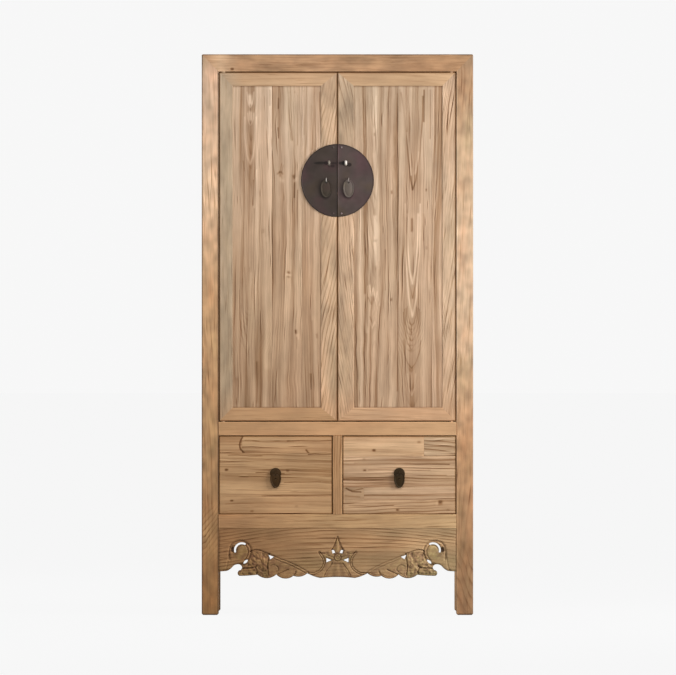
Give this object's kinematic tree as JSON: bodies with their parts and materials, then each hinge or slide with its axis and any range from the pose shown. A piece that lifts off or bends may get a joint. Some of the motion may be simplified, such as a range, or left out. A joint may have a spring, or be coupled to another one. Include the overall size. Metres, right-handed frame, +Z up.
{
  "type": "round-lock cabinet",
  "caption": "Tall wooden cabinet with pivot-hung doors under a round split lock plate, drawers below, leaf-shaped drop pulls and a carved pierced apron between straight legs.",
  "frame": {"origin": "middle of the footprint, on the floor", "axes": "+Z up, the front faces -Y, +X to the right of someone facing it"},
  "size_m": [0.968, 0.518, 2],
  "materials": {
    "frame_wood": "brushed, waxed",
    "board_wood": "brushed, waxed",
    "inner_wood": "planed, bare",
    "door_wood": "brushed, waxed",
    "door_panel_wood": "brushed, waxed",
    "drawer_wood": "brushed, waxed",
    "carved_wood": "carved, waxed",
    "iron": "dark patina"
  },
  "bodies": {
    "carcass": {"front_post_left": "frame_wood", "front_post_right": "frame_wood", "rear_post_left": "frame_wood", "rear_post_right": "frame_wood", "top_rail_front": "frame_wood", "top_rail_back": "frame_wood", "top_rail_left": "frame_wood", "top_rail_right": "frame_wood", "mid_rail_front": "frame_wood", "mid_rail_back": "frame_wood", "mid_rail_left": "frame_wood", "mid_rail_right": "frame_wood", "bottom_rail_front": "frame_wood", "bottom_rail_back": "frame_wood", "bottom_rail_left": "frame_wood", "bottom_rail_right": "frame_wood", "drawer_divider_post": "frame_wood", "top_panel": "board_wood", "left_side_panels": "board_wood", "right_side_panels": "board_wood", "back_panels": "board_wood", "drawer_runners": "inner_wood", "compartment_floor": "inner_wood", "shelves": "inner_wood", "shelf_battens": "inner_wood", "front_apron": "carved_wood"},
    "left_door": {"left_door_hinge_stile": "door_wood", "left_door_meeting_stile": "door_wood", "left_door_bottom_rail": "door_wood", "left_door_top_rail": "door_wood", "left_door_panel": "door_panel_wood", "left_door_battens": "inner_wood", "left_door_lock_plate": "iron", "left_door_lock_eye": "iron", "left_door_pull_staple": "iron"},
    "left_door_drop_pull": {"left_door_pull": "iron"},
    "left_drawer": {"left_drawer_front": "drawer_wood", "left_drawer_sides": "inner_wood", "left_drawer_back": "inner_wood", "left_drawer_bottom": "inner_wood", "left_drawer_pull_mount": "iron"},
    "left_drawer_drop_pull": {"left_drawer_pull": "iron"},
    "right_door": {"right_door_hinge_stile": "door_wood", "right_door_meeting_stile": "door_wood", "right_door_bottom_rail": "door_wood", "right_door_top_rail": "door_wood", "right_door_panel": "door_panel_wood", "right_door_battens": "inner_wood", "right_door_lock_plate": "iron", "right_door_lock_eye": "iron", "right_door_pull_staple": "iron"},
    "right_door_drop_pull": {"right_door_pull": "iron"},
    "right_drawer": {"right_drawer_front": "drawer_wood", "right_drawer_sides": "inner_wood", "right_drawer_back": "inner_wood", "right_drawer_bottom": "inner_wood", "right_drawer_pull_mount": "iron"},
    "right_drawer_drop_pull": {"right_drawer_pull": "iron"}
  },
  "joints": [
    {"name": "left_door_swing", "type": "hinge", "parent": "carcass", "child": "left_door", "pos_m": [-0.407, -0.24, 1.3135], "axis": [0, 0, -1], "range_deg": [0, 110]},
    {"name": "right_door_swing", "type": "hinge", "parent": "carcass", "child": "right_door", "pos_m": [0.407, -0.24, 1.3135], "axis": [0, 0, 1], "range_deg": [0, 110]},
    {"name": "left_drawer_slide", "type": "slide", "parent": "carcass", "child": "left_drawer", "axis": [0, -1, 0], "range_m": [0, 0.3]},
    {"name": "right_drawer_slide", "type": "slide", "parent": "carcass", "child": "right_drawer", "axis": [0, -1, 0], "range_m": [0, 0.3]},
    {"name": "left_door_pull_swing", "type": "hinge", "parent": "left_door", "child": "left_door_drop_pull", "pos_m": [-0.04, -0.2542, 1.551], "axis": [-1, 0, 0], "range_deg": [0, 90]},
    {"name": "right_door_pull_swing", "type": "hinge", "parent": "right_door", "child": "right_door_drop_pull", "pos_m": [0.04, -0.2542, 1.551], "axis": [-1, 0, 0], "range_deg": [0, 90]},
    {"name": "left_drawer_pull_swing", "type": "hinge", "parent": "left_drawer", "child": "left_drawer_drop_pull", "pos_m": [-0.2205, -0.2547, 0.505], "axis": [-1, 0, 0], "range_deg": [0, 90]},
    {"name": "right_drawer_pull_swing", "type": "hinge", "parent": "right_drawer", "child": "right_drawer_drop_pull", "pos_m": [0.2205, -0.2547, 0.505], "axis": [-1, 0, 0], "range_deg": [0, 90]}
  ]
}
